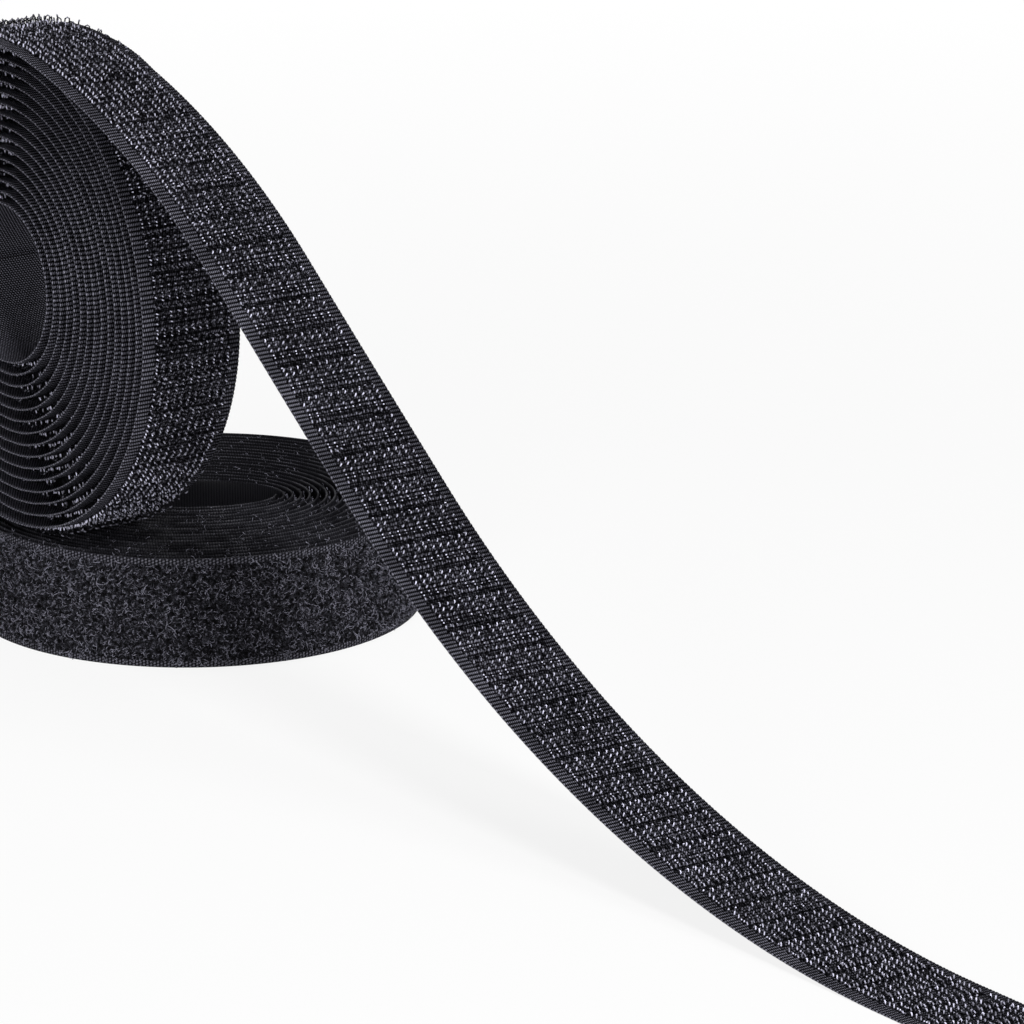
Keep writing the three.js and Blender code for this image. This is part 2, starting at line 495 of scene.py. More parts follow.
@dataclass(frozen=True)
class WovenGround(Finish):
    """Woven nylon ground: ribs across the tape, dark in the grooves: own tone and painted shade.

    Args:
        crest: Grey of the ribs' crests.
        stitch: Width of one stitch across the tape.
        groove: Grey of the grooves, which carries painted shade.
        pick: Length of one rib along the tape.
        slant: How far a stitch leans over one rib.
        depth: How deep the stitches are cut into the rib.
        repeat: Ribs in one repeat of the hook rows, with deeper painted shade in two of its grooves; 0 for
            none.
        sharp: How sharply a rib stands out of its groove.
        gloss: Gloss of the ribs' crests.
        worn: How far a slow change along the tape takes the tone down.
        patch: Scale of that change, for each millimetre.
        middle: The tape's middle, across it.
        reach: How far the hook field reaches from there.
        far_selvedge_shade: How much of its tone the second selvedge loses on a tape with rows of hooks:
            painted shade.
        bare_slant: The slant on that tape's bare selvedges.
        field_stitch: How much wider a stitch is in its hook field.
        field_soft: How much less sharply a rib stands out there.
        shaded_grooves: Places in a repeat, in ribs, of the two grooves with the deepest painted shade.
        roughness: Roughness of the thread.
        bump: Height of a rib, in metres, for the bump.
    """

    crest: float
    stitch: float
    groove: float = 0.0015
    pick: float = 0.9825
    slant: float = 0.8
    depth: float = 0.75
    repeat: int = 0
    sharp: float = 2.8
    gloss: float = 0.35
    worn: float = 0.0
    patch: float = 0.11
    middle: float = 12.5
    reach: float = 9.6
    far_selvedge_shade: float = 0.4
    bare_slant: float = 0.15
    field_stitch: float = 0.17
    field_soft: float = 1.8
    shaded_grooves: tuple[float, float] = (1.6, 7.65)
    roughness: float = 0.6
    bump: float = 0.0002

    def paint(self, g: Graph, shader: bpy.types.Node) -> None:
        """Colour by the rib's height with a noise over it, painted shade between hooks, and a bump of that
        height.

        Args:
            g: The material's graph.
            shader: Its shader.
        """
        s, v = g.tape_place()
        sizes = {"Pick": self.pick, "Stitch": self.stitch, "Slant": self.slant, "Depth": self.depth}
        ribs = g.add("ShaderNodeGroup", node_tree=rib_group())
        g.fill(ribs, {"s": s, "v": v, **sizes})
        height = ribs.outputs["Height"]
        # The tone follows the rib's height, so the grooves are dark: the weave's own tone and painted shade
        # of their depth.
        if self.repeat:
            from_middle = g.minus(v, self.middle)
            inside = g.math("LESS_THAN", g.math("ABSOLUTE", from_middle), self.reach)
            slant = g.plus(self.bare_slant, g.times(inside, self.slant - self.bare_slant))
            stitch = g.plus(self.stitch, g.times(inside, self.field_stitch))
            g.fill(ribs, {"Slant": slant, "Stitch": stitch})
            tone = g.math("POWER", height, g.minus(self.sharp, g.times(inside, self.field_soft)))
            # Painted shade on the ground between the hooks.
            tone = g.times(tone, self.field_painted_shade(g, s, v, inside))
            # Painted shade: the second selvedge is darker than the first.
            far_selvedge = g.math("GREATER_THAN", from_middle, self.reach - 0.4)
            tone = g.times(tone, g.minus(1.0, g.times(far_selvedge, self.far_selvedge_shade)))
        else:
            tone = g.math("POWER", height, self.sharp)
        tone = g.times(tone, g.plus(0.35, g.times(ribs.outputs["Fibre"], 1.3)))
        if self.worn:
            slow = g.noise(g.plane(s, v), self.patch, 5.0, 0.7)
            tone = g.times(tone, g.remap(slow, 0.42, 0.62, 1.0 - self.worn, 1.0))
        bump = g.add("ShaderNodeBump", {"Height": height, "Strength": 1.0, "Distance": self.bump})
        g.fill(
            shader,
            {
                "Base Color": g.mix(tone, grey(self.groove), grey(self.crest)),
                "Coat Weight": g.times(tone, self.gloss),
                "Coat Roughness": 0.35,
                "Normal": bump.outputs[0],
                "Roughness": self.roughness,
                "Specular IOR Level": 0.0,
            },
        )

    def field_painted_shade(self, g: Graph, s: Socket, v: Socket, inside: Socket) -> Socket:
        """Painted shade on the ground in the hook field, in patches of stitches, and wholly in two grooves of
        a repeat.

        Args:
            g: The material's graph.
            s: Length along the tape.
            v: Distance across it.
            inside: 1 inside the hook field.

        Returns:
            A factor for the tone.
        """
        phase = g.times(g.math("FRACT", g.math("DIVIDE", s, self.pick * self.repeat)), float(self.repeat))
        near = float(self.repeat)
        for groove in self.shaded_grooves:
            near = g.math("MINIMUM", near, g.math("ABSOLUTE", g.minus(phase, groove)))
        clear = g.remap(near, 0.02, 0.4, 0.05, 1.0)
        patchy_painted_shade = g.remap(g.noise(g.plane(s, v), 1.3, 1.5), 0.42, 0.62, 0.04, 0.8)
        return g.minus(1.0, g.times(g.minus(1.0, g.times(clear, patchy_painted_shade)), inside))


@dataclass(frozen=True)
class Thread(Finish):
    """Nylon thread: a grey that varies from strand to strand, with a gloss of its own and, with a band,
    painted glints.

    Args:
        dark: Grey of the darkest strand.
        light: Grey of the lightest.
        roughness: Roughness of the strand.
        specular: Strength of its reflection.
        band: Length between the painted glints, where a strand is lightest; 0 for none.
        first_glint: Where the first painted glint is.
        coat: Strength of the coat gloss on the lightest stretches, where the glints are painted.
    """

    dark: float
    light: float
    roughness: float
    specular: float
    band: float = 0.0
    first_glint: float = 0.75
    coat: float = 0.0

    def paint(self, g: Graph, shader: bpy.types.Node) -> None:
        """Colour from the strand's own tint, broken by a noise along it, with painted glints: lightest at
        each band.

        Args:
            g: The material's graph.
            shader: Its shader.
        """
        length, tint = g.tape_place()
        noise = g.noise(g.plane(length, g.times(tint, 900.0)), 1.6, 2.0)
        share = g.plus(g.times(tint, 0.8), g.minus(g.times(noise, 2.0), 0.9))
        if self.band:
            # Painted glints: lighter stretches every band along the thread, dimmer beyond 1.2 mm from its
            # root.
            wave = g.math("COSINE", g.times(g.minus(length, self.first_glint), 2 * math.pi / self.band))
            painted_glint = g.remap(wave, -0.2, 0.7, 0.1, 1.0)
            high = g.remap(length, 1.2, 2.4, 1.0, 0.45)
            share = g.times(g.plus(share, 0.25), g.times(painted_glint, high))
        shade = g.math("POWER", g.add("ShaderNodeClamp", {0: share}).outputs[0], 1.7)
        colour = g.mix(shade, grey(self.dark), grey(self.light))
        inputs = {"Base Color": colour, "Roughness": self.roughness, "Specular IOR Level": self.specular}
        if self.coat:
            inputs |= {"Coat Weight": g.times(shade, self.coat), "Coat Roughness": 0.2}
        g.fill(shader, inputs)


@dataclass(frozen=True)
class PileBed(Finish):
    """The felted bed under the pile: near black, with a mesh of thin curled threads.

    Args:
        light: Grey of the threads.
        dark: Grey of the pits.
    """

    light: float
    dark: float = 0.002

    def paint(self, g: Graph, shader: bpy.types.Node) -> None:
        """Threads where a noise passes its middle, in two sizes, with a coarse noise over them, and a bump.

        Args:
            g: The material's graph.
            shader: Its shader.
        """
        place = g.plane(*g.tape_place())
        threads = []
        for scale in (1.5, 2.6):
            away = g.math("ABSOLUTE", g.minus(g.noise(place, scale, 1.0), 0.5))
            threads.append(g.remap(away, 0.0, 0.07, 1.0, 0.0))
        both = g.math("MAXIMUM", *threads)
        tone = g.times(both, g.remap(g.noise(place, 0.9, 3.0, 0.7), 0.4, 0.65))
        bump = g.add("ShaderNodeBump", {"Height": both, "Strength": 1.0, "Distance": 0.0003})
        colour = g.mix(tone, grey(self.dark), grey(self.light))
        g.fill(shader, {"Base Color": colour, "Normal": bump.outputs[0]})
        g.fill(shader, {"Roughness": 0.95, "Specular IOR Level": 0.05})


HOOK_OUTER = WovenGround(
    "hook_ground_outer", crest=0.34, stitch=0.45, repeat=8, sharp=4.2, worn=0.55, patch=0.05
)
HOOK_INNER = WovenGround(
    "hook_ground_inner", crest=0.2, stitch=0.7, groove=0.002, pick=0.49125, slant=0.3, depth=0.9
)
HOOK_EDGE = WovenGround("hook_ground_edge", crest=0.2, stitch=0.3, groove=0.01, slant=0.3, depth=0.3)
LOOP_SELVEDGE = WovenGround(
    "loop_ground_selvedge", crest=0.14, stitch=0.7, groove=0.002, pick=0.78, slant=0.3, depth=0.6
)
LOOP_INNER = WovenGround(
    "loop_ground_inner", crest=0.013, stitch=0.5, groove=0.011, pick=0.62, depth=0.3, sharp=1.0
)
# The outer faces of the turns under the outer one: darker than the outer turn's selvedge ground, painted
# shade between the turns.
LOOP_WOUND_SHADED = WovenGround(
    "loop_ground_wound_shaded",
    crest=0.035,
    stitch=0.3,
    groove=0.008,
    pick=0.62,
    slant=0.3,
    depth=0.4,
    sharp=1.2,
    worn=0.8,
)
LOOP_EDGE = replace(LOOP_WOUND_SHADED, name="loop_ground_edge", crest=0.06, depth=0.3)
# The hooks' lightest grey stands for painted glints on the black nylon, placed by the band.
HOOK_THREAD = Thread(
    "hook_monofilament", dark=0.002, light=0.95, roughness=0.25, specular=0.01, band=1.7, coat=0.8
)
PILE_THREAD = Thread("pile_thread", dark=0.002, light=0.37, roughness=0.6, specular=0.02)
FRINGE_THREAD = Thread("fringe_thread", dark=0.003, light=0.36, roughness=0.7, specular=0.02)
PILE_BED = PileBed("pile_bed", light=0.09)
HOOK_MASS = PileBed("hook_mass", light=0.06)
HOOK_GROUND = [HOOK_INNER, HOOK_EDGE, HOOK_OUTER]
LOOP_GROUND = [LOOP_INNER, LOOP_EDGE, LOOP_WOUND_SHADED, LOOP_SELVEDGE]


# Hook tape


class HookForm(Enum):
    """How a hook thread stands: a whole loop, a cut loop with its crook, or a cut stub."""

    LOOP = "loop"
    CANE = "cane"
    STUB = "stub"


@dataclass
class HookRow:
    """One row of hooks in each repeat of the weave.

    Args:
        form: The form that its threads have.
        phase: Where it stands in the repeat, in ribs.
        height: Height of its threads.
        width: Width of their bow.
        share: Share of places that carry one.
        turn: How far its plane is turned from along the tape.
    """

    form: HookForm
    phase: float
    height: float
    width: float
    share: float = 1.0
    turn: float = 0.0


@dataclass(frozen=True)
class HookStretch:
    """A stretch of tape that gets hooks.

    Args:
        start: Where the hooks begin.
        end: Where they stop.
        columns: The columns to fill.
        seed: Seed for the sway.
        sides: Sides of a thread, 3 where only its edge shows between the turns.
        limit: The greatest height that there is room for.
        flattened: How much of their height the hooks lose between 60 and 110 mm along the stretch.
        fill: Share of the hooks that are made.
    """

    start: float
    end: float
    columns: tuple[int, ...]
    seed: int
    sides: int = 4
    limit: float = 3.0
    flattened: float = 0.0
    fill: float = 1.0


@dataclass
class HookTape:
    """The hook tape's weave: a ribbed ground with rows of hooks between two bare selvedges."""

    width: float = 25.0
    ground: float = 0.5
    pick: float = 0.9825
    pick_steps: int = 6
    rib: float = 0.1
    inner_rib: float = 0.04
    edge_draw: float = 0.07
    second_draw: float = 0.03
    picks: int = 8
    columns: int = 11
    column_pitch: float = 1.83
    first_column: float = 3.35
    scatter: float = 0.04
    thread: float = 0.165
    root: float = 0.14
    least: float = 0.3
    clearance: float = 0.5
    margin: float = 0.3
    points: int = 9
    stub_points: int = 5
    rows: tuple[HookRow, ...] = (
        HookRow(HookForm.LOOP, 0.9, 2.05, 1.05, turn=0.8),
        HookRow(HookForm.STUB, 2.2, 0.9, 0.3, 0.8, turn=0.4),
        HookRow(HookForm.CANE, 3.1, 1.45, 0.6, 0.85, turn=0.4),
        HookRow(HookForm.CANE, 4.4, 1.5, 0.6, 0.9, turn=-0.5),
        HookRow(HookForm.CANE, 5.8, 2.15, 0.9, turn=-0.8),
        HookRow(HookForm.STUB, 6.6, 0.8, 0.3, 0.95),
        HookRow(HookForm.STUB, 7.4, 0.75, 0.2, 0.9),
    )

    @property
    def repeat(self) -> float:
        """Length of one repeat of the weave."""
        return self.pick * self.picks

    def section(self, stations: Array) -> StripSection:
        """The ground's outline: ribs |sin(pi s / pick)| outside and fainter ones, half a rib on, inside.

        The crosswise thread draws the edges in at each rib, and a little more at each second one.

        Args:
            stations: Lengths along the tape.

        Returns:
            The outline at those stations.
        """
        edge, fall = np.array([0.0, 0.1, 0.32]), np.array([0.19, 0.06, 0.0])
        middle = [1.6, 3.0, 3.4, 9.0, 12.5, 16.0, 21.6, 22.0, 23.4]
        v = np.concatenate([edge, middle, self.width - edge[::-1]])
        rounding = np.concatenate([fall, np.zeros(len(middle)), fall[::-1]])
        turn = np.pi * stations[:, None] / self.pick
        outer = self.ground - self.rib * (1 - np.abs(np.sin(turn))) - rounding
        inner = self.inner_rib * (1 - np.abs(np.cos(turn))) + rounding
        wave = self.edge_draw * np.abs(np.cos(turn)) + self.second_draw * np.cos(turn)
        return StripSection(v, inner, outer, np.maximum(wave, 0.0))

    def centreline(self, form: HookForm, height: Array, width: Array, crook: Array) -> tuple[Array, Array]:
        """A thread's line in its own plane, along the tape and out of it.

        A loop is a teardrop: out = h (1 - cos q) / 2 and along = -w sin q sin(q / 2) / 1.54, with q once
        round, so that its bow is w wide. A cane is a stem with half a circle of the given width on it: it
        turns through the crook's angle back along the tape. A stub is a leaning line that bends a little.

        Args:
            form: The thread's form.
            height: Its height, one row for each thread, as the others.
            width: Width of its bow, or of its crook.
            crook: For a cane, the angle that its top turns through.

        Returns:
            Distances along and out, one row for each thread.
        """
        if form is HookForm.STUB:
            share = np.linspace(0.0, 1.0, self.stub_points)
            return width * share**2, height * share
        if form is HookForm.LOOP:
            q = 2 * np.pi * np.linspace(0.0, 1.0, self.points)
            return -width * np.sin(q) * np.sin(q / 2) / 1.54, height * (1 - np.cos(q)) / 2
        radius = width / 2
        stem = np.linspace(0.0, 1.0, 4) * (height - radius)
        bend = np.linspace(0.0, 1.0, self.points - 3)[1:] * crook
        lean = 0.12 * stem * (1 - stem / height)
        along = np.concatenate([lean, radius * (np.cos(bend) - 1)], axis=1)
        out = np.concatenate([stem, stem[:, -1:] + radius * np.sin(bend)], axis=1)
        return along, out

    def hooks(self, run: TapeRun, stretch: HookStretch, rest: float = -math.inf) -> Surface:
        """Hooks on a run of tape, each in its column and row with a little sway of its own.

        Args:
            run: The tape.
            stretch: Where the hooks stand and how they are made.
            rest: Level of what the tape rests on, which hooks that point down are bent short of.

        Returns:
            The hooks as one surface.
        """
        rng = np.random.default_rng(stretch.seed)
        first = math.ceil(stretch.start / self.repeat - 1)
        last = math.floor(stretch.end / self.repeat + 1)
        repeats, column = np.meshgrid(np.arange(first, last + 1), np.array(stretch.columns), indexing="ij")
        repeats, column = repeats.ravel(), column.ravel()
        outermost = np.abs(column - (self.columns - 1) / 2) > self.columns / 2 - 1
        parts = []
        for row in self.rows:
            total = len(repeats)
            s = (repeats * self.picks + row.phase) * self.pick + rng.normal(0.0, self.scatter, total)
            v = self.first_column + self.column_pitch * column + rng.normal(0.0, self.scatter, total)
            keep = (s > stretch.start + self.margin) & (s < stretch.end - self.margin)
            keep &= rng.random(total) < row.share * stretch.fill
            s, v, total = s[keep], v[keep], int(keep.sum())
            # The columns next to the selvedges get lighter tints: painted highlight on the edge hooks.
            tint = np.where(outermost[keep], rng.uniform(0.4, 1.0, total), rng.random(total))
            point, ahead, outward = run.frame_at(s)
            down = -outward[:, 2]
            room = (point[:, 2] - rest) / np.maximum(down, 0.05) - self.clearance
            room = np.where(down > 0.05, room, stretch.limit)
            left = 1 - stretch.flattened * smoothstep(s - stretch.start, 60.0, 110.0)
            height = row.height * rng.normal(1.0, 0.06, total) * left
            height = np.clip(np.minimum(height, room), self.least, stretch.limit)[:, None]
            width = row.width * rng.normal(1.0, 0.12, (total, 1))
            along, out = self.centreline(row.form, height, width, rng.uniform(2.6, 3.9, (total, 1)))
            sway_s, sway_v = rng.normal(-0.03, 0.07, (total, 1)), rng.normal(0.0, 0.07, (total, 1))
            turn = rng.normal(row.turn, 0.25, (total, 1))
            step_s = along * np.cos(turn) + sway_s * out
            step_v = along * np.sin(turn) + sway_v * out
            centres = run.lines(s, step_s, v[:, None] + step_v, self.ground - self.root + out)
            plane = np.cos(turn) * run.across - np.sin(turn) * ahead
            parts.append(strands(centres, plane, np.full(out.shape, self.thread), stretch.sides, tint))
        return joined(parts)


def joined(parts: list[Surface]) -> Surface:
    """Several surfaces as one, with their points renumbered.

    Args:
        parts: The surfaces.

    Returns:
        The one surface.
    """
    offsets = np.cumsum([0] + [len(part.points) for part in parts[:-1]])
    return Surface(
        np.concatenate([part.points for part in parts]),
        np.concatenate([part.quads + offset for part, offset in zip(parts, offsets)]),
        np.concatenate([part.uv for part in parts]),
        np.concatenate([part.triangles + offset for part, offset in zip(parts, offsets)]),
    )


@dataclass
class HookRoll:
    """The wound hook tape: a spiral that stands on the loop roll, with its last stretch worked sideways."""

    tape: HookTape
    bore_radius: float = 16.45
    pitch: float = 2.536
    turns: float = 15.25
    shift_x: float = -3.15
    shift_z: float = 0.55
    first_angle: float = -90.0
    sideways: float = -4.7
    sideways_turns: float = 0.65
    axis_x: float = -134.59
    axis_z: float = 80.838
    near_face: float = -47.155
    rest: float = 25.1
    last_turn_radius: float = 54.0
    step: float = 2.6
    field_gap: float = 0.07
    field_sink: float = 0.15

    def run(self) -> TapeRun:
        """The spiral: r = bore + pitch x turns at the angle run, about a centre that drifts on to the axis.

        Returns:
            The tape's run, from the bore to the crest.
        """
        turns = np.linspace(0.0, self.turns, int(self.turns * POINTS_PER_TURN))
        angle = np.radians(self.first_angle) + 2 * np.pi * turns
        radius = self.bore_radius + self.pitch * turns
        left = 1 - turns / self.turns
        x = self.axis_x + self.shift_x * left + radius * np.sin(angle)
        z = self.axis_z + self.shift_z * left + radius * np.cos(angle)
        y = self.near_face + self.sideways * smoothstep(turns, self.turns - self.sideways_turns, self.turns)
        return TapeRun(np.stack([x, y, z], -1), np.array([0.0, 1.0, 0.0]))

    def middle_field(self, run: TapeRun, end: float) -> Surface:
        """The hooks between the turns, away from both edges, as a mass that fills the room to the next turn.

        It stands on the ground with rounded shoulders: each side falls by the eased share of its distance in.

        Args:
            run: The tape.
            end: Where the last turn begins, which the mass stops short of.

        Returns:
            The mass as a closed strip.
        """
        ground = self.tape.ground
        stations = np.append(np.arange(1.0, end - 1.0, self.step), end)
        v = np.array([6.3, 6.6, 7.3, 12.5, 17.7, 18.4, 18.7])
        rise = smoothstep(np.minimum(v - v[0], v[-1] - v), -0.6, 1.0)
        top = ground + rise * (run.room(stations) - ground - self.field_gap)[:, None]
        section = StripSection(v, ground - self.field_sink, top, split=(0, 0, 0))
        return strip_surface(run, stations, section)

    def build(self) -> list[Piece]:
        """Make the ground, with true ribs on its last turn, and its hooks.

        The last turn has all of them. The turns below have the two columns next to each selvedge, which are
        what shows, with a mass between them.

        Returns:
            The ground, then its hooks.
        """
        run = self.run()
        last_turn = run.end - 2 * np.pi * self.last_turn_radius
        wound = np.arange(0.0, last_turn, self.step)
        ribbed = np.arange(last_turn, run.end, self.tape.pick / self.tape.pick_steps)
        stations = np.concatenate([wound, ribbed, [run.end]])
        ground = strip_surface(run, stations, self.tape.section(stations))
        pieces = [ground.to_object("hook_roll_ground", HOOK_GROUND)]
        every = tuple(range(self.tape.columns))
        for name, stretch in (
            ("outer", HookStretch(last_turn, run.end, every, seed=11)),
            ("near", HookStretch(0.0, last_turn, every[:2], seed=12, sides=3, limit=1.8, fill=0.5)),
            ("far", HookStretch(0.0, last_turn, every[-2:], seed=13, sides=3, limit=1.8, fill=0.5)),
        ):
            hooks = self.tape.hooks(run, stretch, self.rest)
            pieces.append(hooks.to_object(f"hook_roll_{name}_hooks", [HOOK_THREAD]))
        pieces.append(self.middle_field(run, last_turn).to_object("hook_roll_middle_field", [HOOK_MASS]))
        return pieces


@dataclass
class FreeEnd:
    """The drawn-off end of the hook tape: arcs and straights from the crest to the surface."""

    tape: HookTape
    crest: tuple[float, float, float] = (-134.59, -47.155, 135.962)
    depart_radius: float = 75.0
    depart_angle: float = 14.0
    fall_radius: float = 160.0
    fall_angle: float = 40.5
    fall_run: float = 59.7
    lay_length: float = 30.0
    shift_start: float = -4.7
    shift_end: float = 6.3
    lead: float = 0.3
    blend: float = 30.0
    points_per_mm: int = 8

    def run(self, start: float) -> TapeRun:
        """The heading turns by length / radius on each arc, and the points are the sum of its small steps.

        The sideways shift eases from the crest to where the tape lands.

        Args:
            start: Length of tape wound before the crest.

        Returns:
            The tape's run, from the crest to the cut end.
        """
        depart, fall = math.radians(self.depart_angle), math.radians(self.fall_angle)
        drop = self.crest[2] - self.depart_radius * (1 - math.cos(depart)) - self.fall_run * math.sin(fall)
        drop -= self.fall_radius * (math.cos(depart) - math.cos(fall))
        landing = drop / (1 - math.cos(fall))
        lengths = [self.lead, self.depart_radius * depart, self.fall_radius * (fall - depart), self.fall_run]
        lengths += [landing * fall, self.lay_length]
        turns = [0.0, depart, fall - depart, 0.0, -fall, 0.0]
        marks = running(lengths)
        s = np.linspace(0.0, marks[-1], int(marks[-1] * self.points_per_mm))
        heading = np.interp(s, marks, running(turns))
        middle = (heading[1:] + heading[:-1]) / 2
        step = np.diff(s)
        x = self.crest[0] + running(step * np.cos(middle))
        z = self.crest[2] - running(step * np.sin(middle))
        share = smoothstep(s, self.lead, marks[-2])
        y = self.crest[1] + self.shift_start + (self.shift_end - self.shift_start) * share
        return TapeRun(np.stack([x, y, z], -1), np.array([0.0, 1.0, 0.0]), start=start)

    def build(self, start: float) -> list[Piece]:
        """Make the ribbed ground and its hooks.

        Args:
            start: Length of tape wound before the crest.

        Returns:
            The ground, then its hooks.
        """
        run = self.run(start)
        steps = np.arange(start, run.end - 0.05, self.tape.pick / self.tape.pick_steps)
        stations = np.append(steps, run.end)
        ground = strip_surface(run, stations, self.tape.section(stations))
        every = tuple(range(self.tape.columns))
        hooks = self.tape.hooks(run, HookStretch(start, run.end, every, seed=21, flattened=0.3))
        return [
            ground.to_object("free_end_ground", HOOK_GROUND),
            hooks.to_object("free_end_hooks", [HOOK_THREAD]),
        ]


# Loop tape


@dataclass(frozen=True)
class FibreBand:
    """A band of tape that gets fibres.

    Args:
        start: Where the fibres begin along the tape.
        end: Where they stop.
        low: The least v that a root has.
        high: The greatest.
        seed: Seed for their places and shapes.
        total: How many there are.
        reach: How far they bow out, on average.
        stretch: How many times longer than the pile's own fibres they are.
        points: Points along one.
        finish: Their finish.
    """

    start: float
    end: float
    low: float
    high: float
    seed: int
    total: int = 6000
    reach: float = 0.42
    stretch: float = 1.0
    points: int = 6
    finish: Finish = PILE_THREAD


@dataclass
class LoopRoll:
    """The wound loop tape, lying flat: a spiral from an oval bore to a round outside, pile outwards."""

    width: float = 25.0
    ground: float = 0.5
    pile: float = 0.66
    selvedge: float = 1.5
    turns: float = 17.73
    bore_long: float = 20.22
    bore_short: float = 9.62
    outer_radius: float = 51.8
    shift_x: float = -0.69
    shift_y: float = -2.54
    bore_turn: float = 54.0
    axis_x: float = -134.59
    axis_y: float = 0.845
    last_turn_radius: float = 50.6
    step: float = 2.2
    close_step: float = 0.45
    bed_gap: float = 0.15
    bed_lift: float = 0.03
    bed_sink: float = 0.08
    shoulder: float = 1.2
    bed_share: float = 0.62
    root_share: float = 0.45
    lumps: float = 0.12

    def run(self) -> TapeRun:
        """The spiral: half axes that grow evenly from the bore's to the outer radius, turned by its angle.

        Returns:
            The tape's run, from the bore outwards, with v going up from the surface.
        """
        turns = np.linspace(0.0, self.turns, int(self.turns * POINTS_PER_TURN))
        wound = turns / self.turns
        long = self.bore_long + (self.outer_radius - self.bore_long) * wound
        short = self.bore_short + (self.outer_radius - self.bore_short) * wound
        x, y = long * np.cos(-2 * np.pi * turns), short * np.sin(-2 * np.pi * turns)
        lean = math.radians(self.bore_turn)
        along = self.axis_x + x * math.cos(lean) - y * math.sin(lean) + self.shift_x * (1 - wound)
        beside = self.axis_y + x * math.sin(lean) + y * math.cos(lean) + self.shift_y * (1 - wound)
        points = np.stack([along, beside, np.zeros_like(along)], -1)
        return TapeRun(points, np.array([0.0, 0.0, 1.0]), side=-1.0)

    def section(self) -> StripSection:
        """The ground's outline: a thin flat strip with rounded edges.

        Returns:
            The outline, one for all stations.
        """
        v = np.array([0.0, 0.1, 0.3, 1.5, 8.0, 12.5, 17.0, 23.5, 24.7, 24.9, 25.0])
        rounding = np.array([0.17, 0.05, 0, 0, 0, 0, 0, 0, 0, 0.05, 0.17])
        return StripSection(v, rounding, self.ground - rounding)

    def pile_bed(self, run: TapeRun, stations: Array, columns: int, top: Array, lumps: float) -> Surface:
        """The felted bed between the selvedges, which falls to the ground at both edges.

        Its height has a low swell on it, of sines that never line up.

        Args:
            run: The tape.
            stations: Lengths along it.
            columns: Points across it.
            top: Its height over the ground, one for each station.
            lumps: How high the swell is.

        Returns:
            The bed as a closed strip.
        """
        v = np.linspace(self.selvedge, self.width - self.selvedge, columns)
        rise = smoothstep(np.minimum(v - v[0], v[-1] - v), 0.0, self.shoulder) ** 0.5
        s = stations[:, None]
        swell = np.sin(1.9 * s + 1.3 * np.sin(0.7 * v)) * np.sin(2.3 * v + 1.1 * np.sin(0.9 * s))
        swell = swell + 0.6 * np.sin(4.1 * s + 2.9 * v) * np.sin(3.7 * v - 1.7 * s)
        outer = self.ground + self.bed_lift + rise * (top[:, None] + lumps * swell)
        section = StripSection(v, self.ground - self.bed_sink, outer, split=(0, 0, 0))
        return strip_surface(run, stations, section)

    def fibres(self, run: TapeRun, band: FibreBand) -> Surface:
        """Curly pile fibres: each leaves the bed, bows out and comes back a little way on, at its own angle.

        The line is root + share x stride in the surface, plus bow x sin(pi share) out of it, plus a small
        curl: a circle of the curl's size that turns about one to two times over the length.

        Args:
            run: The tape.
            band: Where the fibres stand and how they are made.

        Returns:
            The fibres as one surface.
        """
        rng, total = np.random.default_rng(band.seed), band.total
        s, v = rng.uniform(band.start, band.end, total), rng.uniform(band.low, band.high, (total, 1))
        share = np.linspace(0.0, 1.0, band.points)
        heading = rng.uniform(0, 2 * np.pi, (total, 1))
        stride = band.stretch * rng.gamma(4.0, 0.22, (total, 1))
        bow = band.reach * rng.gamma(6.0, 1 / 6, (total, 1))
        curl = band.stretch * rng.uniform(0.05, 0.22, (total, 1))
        turns, phase = rng.uniform(0.8, 2.0, (total, 1)), rng.uniform(0, 2 * np.pi, (total, 1))
        swing = 2 * np.pi * turns * share + phase
        ahead = stride * share + curl * np.cos(swing)
        aside = curl * np.sin(swing)
        step_s = ahead * np.cos(heading) - aside * np.sin(heading)
        step_v = ahead * np.sin(heading) + aside * np.cos(heading)
        out = bow * np.sin(np.pi * share) + 0.5 * curl * np.sin(swing * 1.3)
        _, way, outward = run.frame_at(s)
        across = np.clip(v + step_v, 0.15, self.width + 0.25)
        centres = run.lines(s, step_s, across, self.ground + self.root_share * self.pile + out)
        plane = unit(np.cos(heading) * run.across - np.sin(heading) * way + 0.3 * outward)
        thick = np.repeat(rng.uniform(0.045, 0.085, (total, 1)), band.points, 1)
        return strands(centres, plane, thick, 3, rng.random(total))

    def build(self) -> list[Piece]:
        """Make the ground, the pile bed, and fibres on the outer turn and on the upper edges of those inside.

        Returns:
            The ground, then the pile's pieces.
        """
        run = self.run()
        outer = run.end - 2 * np.pi * self.last_turn_radius
        stations = np.append(np.arange(0.0, run.end - 0.5, self.step), run.end)
        ground = strip_surface(run, stations, self.section())
        length = ground.uv[ground.quads[:, 0], 0]
